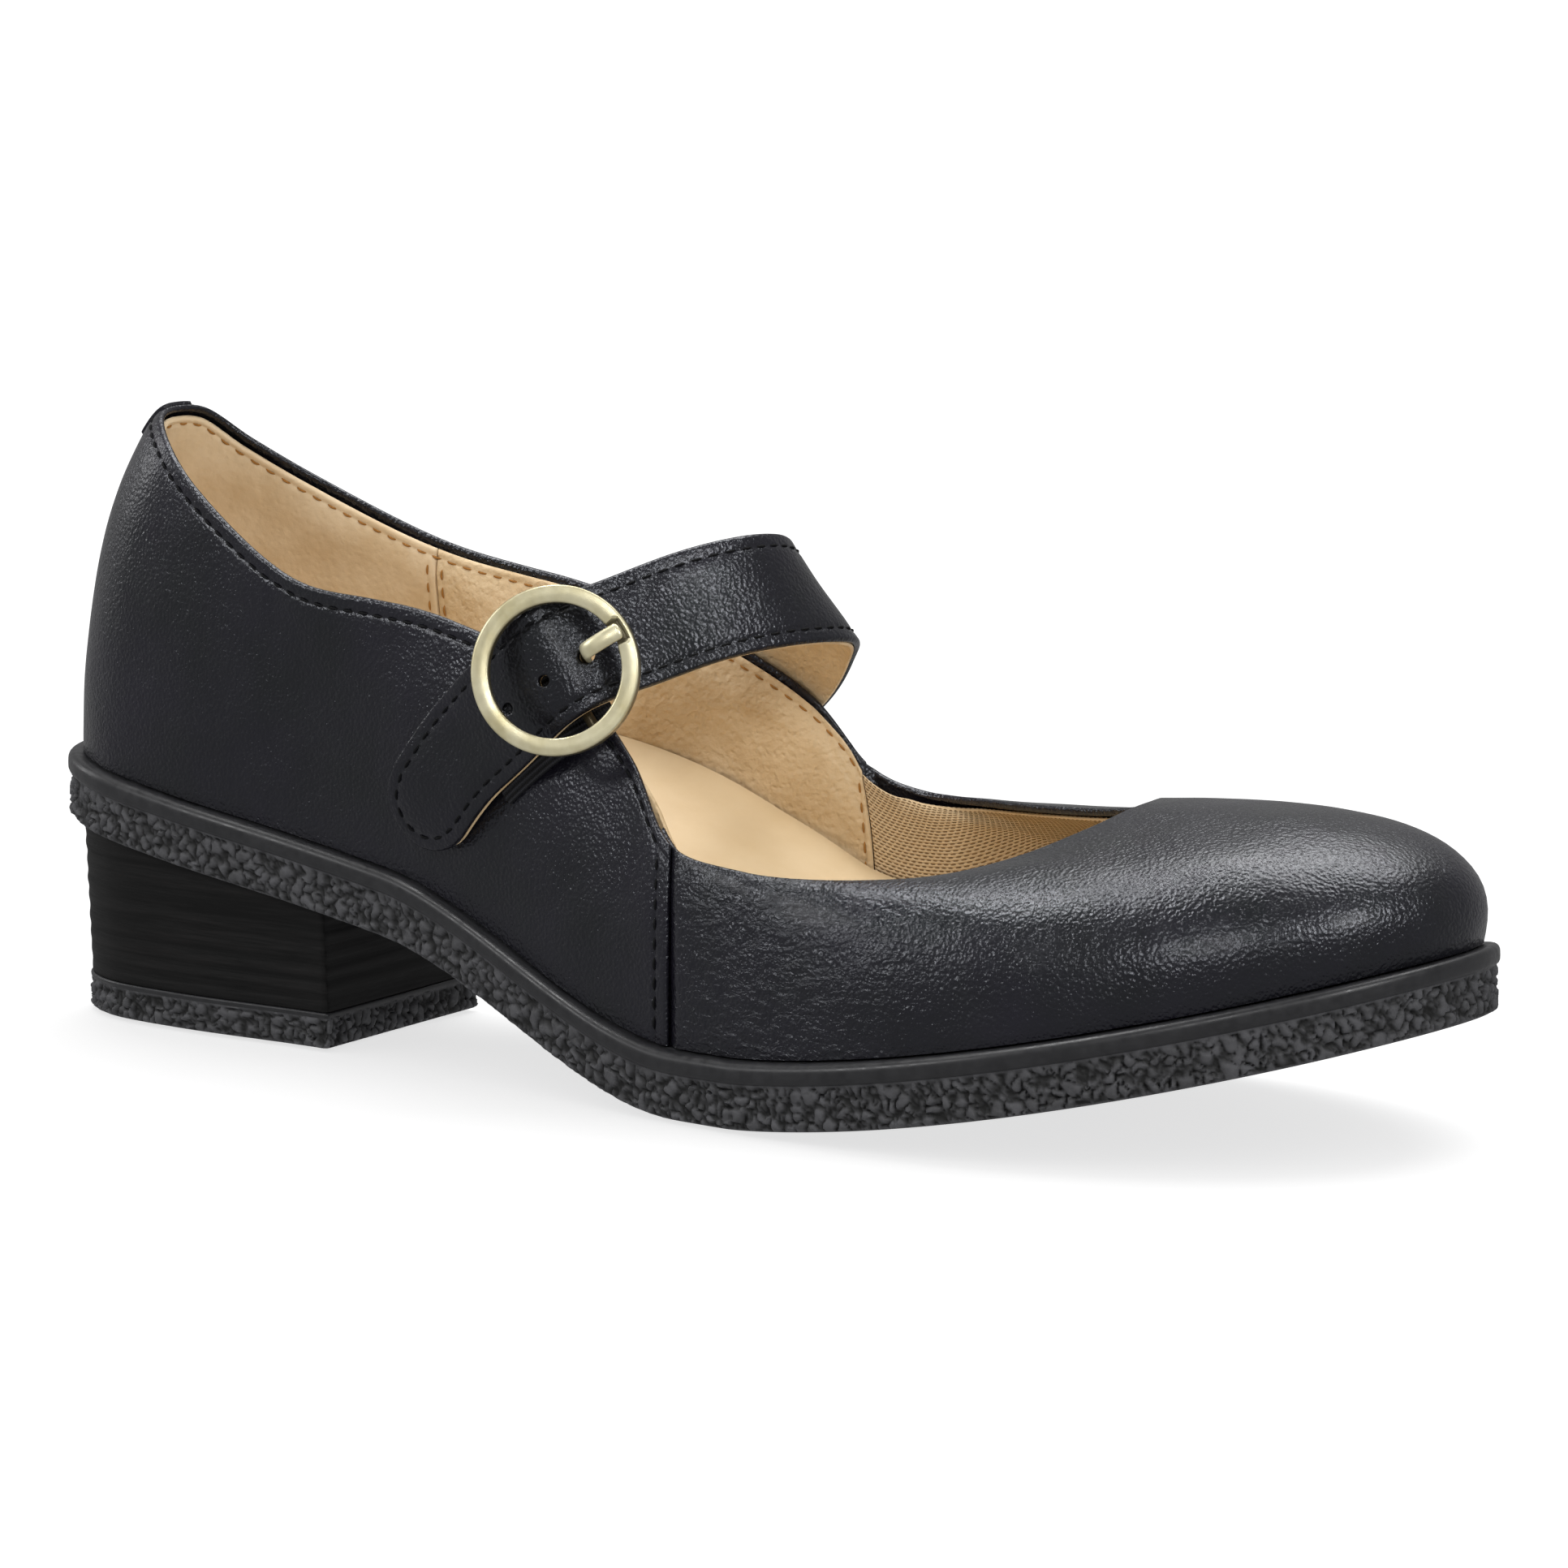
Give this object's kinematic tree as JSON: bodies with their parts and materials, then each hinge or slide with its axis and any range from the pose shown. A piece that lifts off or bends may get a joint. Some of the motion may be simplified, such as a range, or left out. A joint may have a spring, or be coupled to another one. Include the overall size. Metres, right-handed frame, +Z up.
{
  "type": "heeled mary jane shoe",
  "caption": "Right-foot black leather Mary Jane with a stacked block heel, crepe-walled sole, tan lining, and an instep strap closed by a round buckle on elastic.",
  "frame": {"origin": "on the ground under the middle of the whole shoe's box", "axes": "+X from heel to toe, +Y towards the inner (medial) side of this right shoe, +Z up"},
  "size_m": [0.2654, 0.0918, 0.1054],
  "materials": {
    "black_leather": "semi-gloss fine-grain black upper leather",
    "tan_leather": "matt tan lining leather",
    "footbed_leather": "smooth pale tan footbed cover",
    "mesh_lining": "woven tan mesh lining",
    "crepe_rubber": "matt charcoal rubber with a crepe-textured wall",
    "stacked_heel": "black stacked leather with faint horizontal layers",
    "heel_core": "moulded plastic heel core",
    "cork": "cork bottom filler",
    "board": "fibre insole board",
    "foam": "moulded cushion foam",
    "stiffener": "thermoplastic-coated fabric stiffener",
    "steel": "plain steel",
    "antique_brass": "brushed antique brass",
    "elastic": "black ribbed elastic"
  },
  "bodies": {
    "shoe": {"outsole": "crepe_rubber", "heel_wrap": "stacked_heel", "heel_core": "heel_core", "heel_toplift": "crepe_rubber", "heel_screw": "steel", "heel_nail_1": "steel", "heel_nail_2": "steel", "heel_nail_3": "steel", "heel_nail_4": "steel", "shank": "steel", "shank_rivet_1": "steel", "shank_rivet_2": "steel", "bottom_filler": "cork", "insole_board": "board", "footbed_foam": "foam", "footbed_cover": "footbed_leather", "vamp": "black_leather", "quarter_lateral": "black_leather", "quarter_medial": "black_leather", "back_stay": "black_leather", "heel_counter": "stiffener", "toe_puff": "stiffener", "vamp_lining": "mesh_lining", "quarter_lining_lateral": "tan_leather", "quarter_lining_medial": "tan_leather", "heel_lining": "tan_leather", "buckle_elastic": "elastic"},
    "buckle": {"buckle_frame": "antique_brass"},
    "strap": {"strap_outer": "black_leather", "strap_lining": "tan_leather"},
    "prong": {"buckle_prong": "antique_brass"}
  },
  "joints": [
    {"name": "strap_stretch", "type": "hinge", "parent": "shoe", "child": "buckle", "pos_m": [-0.01044, 0.03205, 0.06278], "axis": [-0.63, -0.135, 0.7648], "range_deg": [0, 8], "stiffness_Nm_per_rad": 0.4, "springref_deg": -1.72, "deforming": ["buckle_elastic"]},
    {"name": "strap_swing", "type": "hinge", "parent": "buckle", "child": "strap", "pos_m": [-0.01044, 0.03205, 0.06278], "axis": [-0.63, -0.135, 0.7648], "range_deg": [0, 110], "deforming": ["strap_outer", "strap_lining"]},
    {"name": "prong_lift", "type": "hinge", "parent": "buckle", "child": "prong", "pos_m": [-0.01415, -0.03016, 0.06892], "axis": [0.5786, 0.0121, -0.8155], "range_deg": [0, 80]}
  ],
  "couplings": [
    {"joint": "prong_lift", "follows": "strap_swing", "ratio": 0.7}
  ]
}
